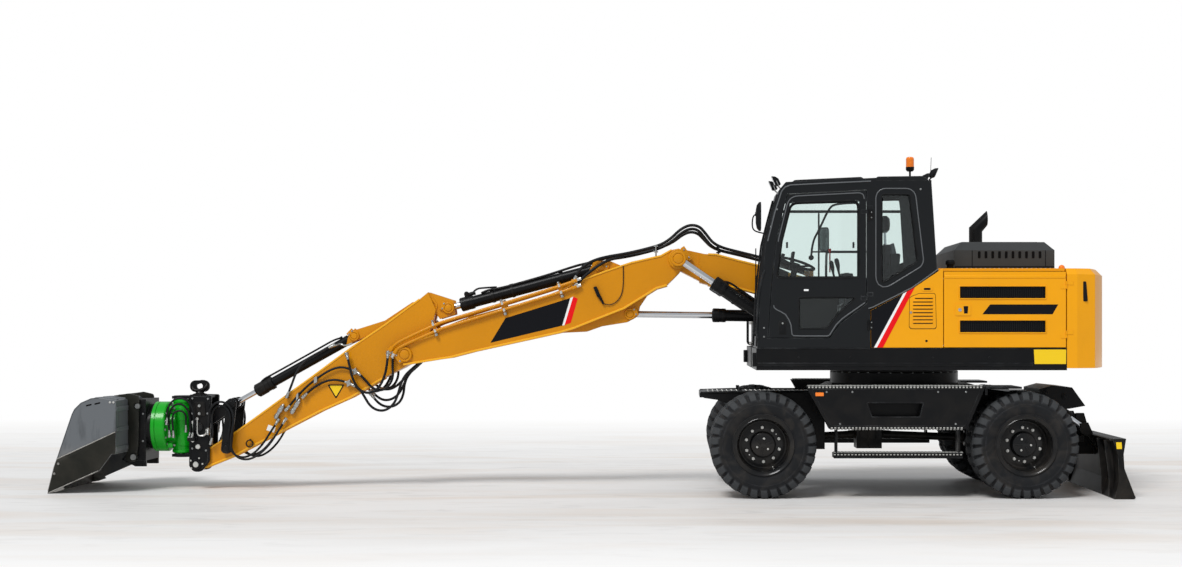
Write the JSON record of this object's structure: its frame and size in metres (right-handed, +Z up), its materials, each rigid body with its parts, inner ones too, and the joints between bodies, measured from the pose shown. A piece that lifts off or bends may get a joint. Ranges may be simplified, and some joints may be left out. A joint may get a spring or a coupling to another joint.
{
  "type": "wheeled excavator",
  "caption": "Wheeled excavator on twin tyres with a two-piece boom, tilting and rotating tool head, grading bucket, cab, side steps and rear dozer blade.",
  "frame": {"origin": "middle of the bounding box at ground level, with the machine standing on its tyres", "axes": "+X towards the dozer blade, away from the bucket; +Z up; -Y on the side of the cab"},
  "size_m": [10.753, 2.5, 3.37],
  "materials": {
    "yellow_paint": "gloss",
    "black_paint": "satin",
    "bucket_steel": "satin",
    "green_paint": "gloss",
    "rod_chrome": "polished",
    "tyre": "matte",
    "rim_paint": "satin",
    "engine_iron": "matte",
    "window_glass": "clear",
    "seat_cloth": "woven",
    "dark_plastic": "matte",
    "hose_rubber": "satin"
  },
  "bodies": {
    "chassis": {"chassis_frame": "black_paint", "side_steps": "black_paint", "front_axle": "black_paint", "rear_axle": "black_paint", "driveline": "black_paint"},
    "steering_left": {"knuckle_left": "black_paint"},
    "steering_right": {"knuckle_right": "black_paint"},
    "wheel_front_left": {"tyres_front_left": "tyre", "rim_front_left": "rim_paint"},
    "wheel_front_right": {"tyres_front_right": "tyre", "rim_front_right": "rim_paint"},
    "wheel_rear_left": {"tyres_rear_left": "tyre", "rim_rear_left": "rim_paint"},
    "wheel_rear_right": {"tyres_rear_right": "tyre", "rim_rear_right": "rim_paint"},
    "blade_low_links": {"blade_links_lower": "black_paint"},
    "blade_high_links": {"blade_links_upper": "black_paint"},
    "blade": {"dozer_blade": "black_paint"},
    "blade_barrels": {"blade_cylinder_barrels": "black_paint"},
    "blade_rods": {"blade_cylinder_rods": "rod_chrome"},
    "house": {"house_deck": "black_paint", "counterweight": "yellow_paint", "engine_block": "engine_iron", "exhaust_stack": "black_paint", "house_panels": "yellow_paint", "right_tanks": "black_paint", "cab_shell": "black_paint", "cab_glass": "window_glass", "seat_cushion": "seat_cloth", "seat_backrest": "seat_cloth", "cab_controls": "dark_plastic", "mirrors": "black_paint", "roof_lights": "dark_plastic"},
    "door": {"cab_door": "black_paint", "door_glass": "window_glass"},
    "left_engine_door": {"engine_door_left": "yellow_paint"},
    "right_engine_door": {"engine_door_right": "yellow_paint"},
    "hood": {"engine_hood": "black_paint"},
    "lower_boom": {"base_boom": "yellow_paint", "knee_hoses": "hose_rubber"},
    "lift_barrels": {"lift_cylinder_barrels": "black_paint"},
    "lift_rods": {"lift_cylinder_rods": "rod_chrome"},
    "adjust_barrel": {"adjust_cylinder_barrel": "black_paint"},
    "adjust_rod": {"adjust_cylinder_rod": "rod_chrome"},
    "upper_boom": {"front_boom": "yellow_paint", "elbow_hoses": "hose_rubber"},
    "arm_barrel": {"arm_cylinder_barrel": "black_paint"},
    "arm_rod": {"arm_cylinder_rod": "rod_chrome"},
    "stick": {"arm": "yellow_paint", "hitch_hoses": "hose_rubber"},
    "bucket_barrel": {"bucket_cylinder_barrel": "black_paint"},
    "bucket_rod": {"bucket_cylinder_rod": "rod_chrome"},
    "rocker": {"rocker_links": "yellow_paint"},
    "link": {"bucket_link": "yellow_paint"},
    "hitch": {"tool_hitch": "black_paint", "tool_hoses": "hose_rubber"},
    "tilt_head": {"tilt_rotator": "green_paint"},
    "tool": {"tool_coupler": "black_paint", "bucket": "bucket_steel"}
  },
  "joints": [
    {"name": "steer_left", "type": "hinge", "parent": "chassis", "child": "steering_left", "pos_m": [1.76, -0.6, 0.52], "axis": [0, 0, 1], "range_deg": [-25, 25]},
    {"name": "steer_right", "type": "hinge", "parent": "chassis", "child": "steering_right", "pos_m": [1.76, 0.6, 0.52], "axis": [0, 0, 1], "range_deg": [-25, 25]},
    {"name": "front_left_wheel", "type": "hinge", "parent": "steering_left", "child": "wheel_front_left", "pos_m": [1.76, -0.96, 0.52], "axis": [0, 1, 0], "continuous": true},
    {"name": "front_right_wheel", "type": "hinge", "parent": "steering_right", "child": "wheel_front_right", "pos_m": [1.76, 0.96, 0.52], "axis": [0, 1, 0], "continuous": true},
    {"name": "rear_left_wheel", "type": "hinge", "parent": "chassis", "child": "wheel_rear_left", "pos_m": [4.31, -0.96, 0.52], "axis": [0, 1, 0], "continuous": true},
    {"name": "rear_right_wheel", "type": "hinge", "parent": "chassis", "child": "wheel_rear_right", "pos_m": [4.31, 0.96, 0.52], "axis": [0, 1, 0], "continuous": true},
    {"name": "blade_lift", "type": "hinge", "parent": "chassis", "child": "blade_low_links", "pos_m": [4.69, 0, 0.47], "axis": [0, -1, 0], "range_deg": [-12, 35]},
    {"name": "blade_upper_link", "type": "hinge", "parent": "chassis", "child": "blade_high_links", "pos_m": [4.69, 0, 0.79], "axis": [0, -1, 0], "range_deg": [-12.5, 35.5]},
    {"name": "blade_level", "type": "hinge", "parent": "blade_low_links", "child": "blade", "pos_m": [5.06, 0, 0.42], "axis": [0, -1, 0], "range_deg": [-35.5, 12.5]},
    {"name": "blade_cylinder_swing", "type": "hinge", "parent": "chassis", "child": "blade_barrels", "pos_m": [4.695, 0, 0.905], "axis": [0, 1, 0], "range_deg": [-28.13, 9.97]},
    {"name": "blade_cylinder_stroke", "type": "slide", "parent": "blade_barrels", "child": "blade_rods", "axis": [0.8234, 0, -0.5675], "range_m": [-0.11518, 0.04212]},
    {"name": "slew", "type": "hinge", "parent": "chassis", "child": "house", "pos_m": [3.17, 0, 1.23], "axis": [0, 0, 1], "continuous": true},
    {"name": "cab_door_swing", "type": "hinge", "parent": "house", "child": "door", "pos_m": [2.762, -1.244, 2.2], "axis": [0, 0, 1], "range_deg": [0, 150]},
    {"name": "left_engine_door_swing", "type": "hinge", "parent": "house", "child": "left_engine_door", "pos_m": [4.695, -1.244, 1.84], "axis": [0, 0, 1], "range_deg": [0, 100]},
    {"name": "right_engine_door_swing", "type": "hinge", "parent": "house", "child": "right_engine_door", "pos_m": [4.695, 1.244, 1.84], "axis": [0, 0, -1], "range_deg": [0, 100]},
    {"name": "hood_lift", "type": "hinge", "parent": "house", "child": "hood", "pos_m": [4.69, -0.12, 2.252], "axis": [0, 1, 0], "range_deg": [0, 45]},
    {"name": "lower_boom_lift", "type": "hinge", "parent": "house", "child": "lower_boom", "pos_m": [2.716, 0, 1.92], "axis": [0, 1, 0], "range_deg": [-15, 48]},
    {"name": "lift_cylinder_swing", "type": "hinge", "parent": "house", "child": "lift_barrels", "pos_m": [2.197, 0, 1.525], "axis": [0, 1, 0], "range_deg": [-15.71, 49.17]},
    {"name": "lift_cylinder_stroke", "type": "slide", "parent": "lift_barrels", "child": "lift_rods", "axis": [-0.8311, 0, 0.5561], "range_m": [-0.1668, 0.52495]},
    {"name": "upper_boom_angle", "type": "hinge", "parent": "lower_boom", "child": "upper_boom", "pos_m": [0.934, 0, 2.37], "axis": [0, 1, 0], "range_deg": [-50, 12], "deforming": ["knee_hoses"]},
    {"name": "adjust_cylinder_swing", "type": "hinge", "parent": "lower_boom", "child": "adjust_barrel", "pos_m": [2.353, 0, 1.778], "axis": [0, 1, 0], "range_deg": [-9.64, 2.69]},
    {"name": "adjust_cylinder_stroke", "type": "slide", "parent": "adjust_barrel", "child": "adjust_rod", "axis": [-0.9999, 0, 0.0141], "range_m": [-0.57976, 0.14218]},
    {"name": "stick_curl", "type": "hinge", "parent": "upper_boom", "child": "stick", "pos_m": [-1.885, 0, 1.388], "axis": [0, -1, 0], "range_deg": [0, 118], "deforming": ["elbow_hoses"]},
    {"name": "stick_cylinder_swing", "type": "hinge", "parent": "upper_boom", "child": "arm_barrel", "pos_m": [0.131, 0, 2.286], "axis": [0, 1, 0], "range_deg": [-0.5, 4.76]},
    {"name": "stick_cylinder_stroke", "type": "slide", "parent": "arm_barrel", "child": "arm_rod", "axis": [-0.9665, 0, -0.2568], "range_m": [-0.004, 1.15485]},
    {"name": "hitch_curl", "type": "hinge", "parent": "stick", "child": "hitch", "pos_m": [-4.033, 0, 0.256], "axis": [0, -1, 0], "range_deg": [-10, 130], "deforming": ["hitch_hoses"]},
    {"name": "rocker_swing", "type": "hinge", "parent": "stick", "child": "rocker", "pos_m": [-3.715, 0, 0.424], "axis": [0, -1, 0], "range_deg": [-8.45, 103.85]},
    {"name": "link_swing", "type": "hinge", "parent": "rocker", "child": "link", "pos_m": [-3.663, 0, 0.881], "axis": [0, -1, 0], "range_deg": [-78.5, 6.5]},
    {"name": "bucket_cylinder_swing", "type": "hinge", "parent": "stick", "child": "bucket_barrel", "pos_m": [-2.416, 0, 1.579], "axis": [0, 1, 0], "range_deg": [-2.45, 0.65]},
    {"name": "bucket_cylinder_stroke", "type": "slide", "parent": "bucket_barrel", "child": "bucket_rod", "axis": [-0.8726, 0, -0.4884], "range_m": [-0.06051, 0.73863]},
    {"name": "tool_tilt", "type": "hinge", "parent": "hitch", "child": "tilt_head", "pos_m": [-4.215, 0, 0.64], "axis": [0, 0, 1], "range_deg": [-50, 50], "deforming": ["tool_hoses"]},
    {"name": "tool_turn", "type": "hinge", "parent": "tilt_head", "child": "tool", "pos_m": [-4.5, 0, 0.64], "axis": [1, 0, 0], "continuous": true}
  ],
  "couplings": [
    {"joint": "steer_right", "follows": "steer_left", "ratio": 1},
    {"joint": "blade_upper_link", "follows": "blade_lift", "ratio": 1},
    {"joint": "blade_level", "follows": "blade_lift", "ratio": -1},
    {"joint": "blade_cylinder_swing", "follows": "blade_lift", "ratio": -0.78957},
    {"joint": "blade_cylinder_stroke", "follows": "blade_lift", "m_per_rad": -0.182},
    {"joint": "lift_cylinder_swing", "follows": "lower_boom_lift", "ratio": 1.0139},
    {"joint": "lift_cylinder_stroke", "follows": "lower_boom_lift", "m_per_rad": 0.62183},
    {"joint": "adjust_cylinder_swing", "follows": "upper_boom_angle", "ratio": 0.1829},
    {"joint": "adjust_cylinder_stroke", "follows": "upper_boom_angle", "m_per_rad": 0.65977},
    {"joint": "stick_cylinder_swing", "follows": "stick_curl", "ratio": 0.03608},
    {"joint": "stick_cylinder_stroke", "follows": "stick_curl", "m_per_rad": 0.5588},
    {"joint": "rocker_swing", "follows": "hitch_curl", "ratio": 0.795},
    {"joint": "link_swing", "follows": "hitch_curl", "ratio": -0.6},
    {"joint": "bucket_cylinder_swing", "follows": "hitch_curl", "ratio": -0.014982},
    {"joint": "bucket_cylinder_stroke", "follows": "hitch_curl", "m_per_rad": 0.32378}
  ]
}
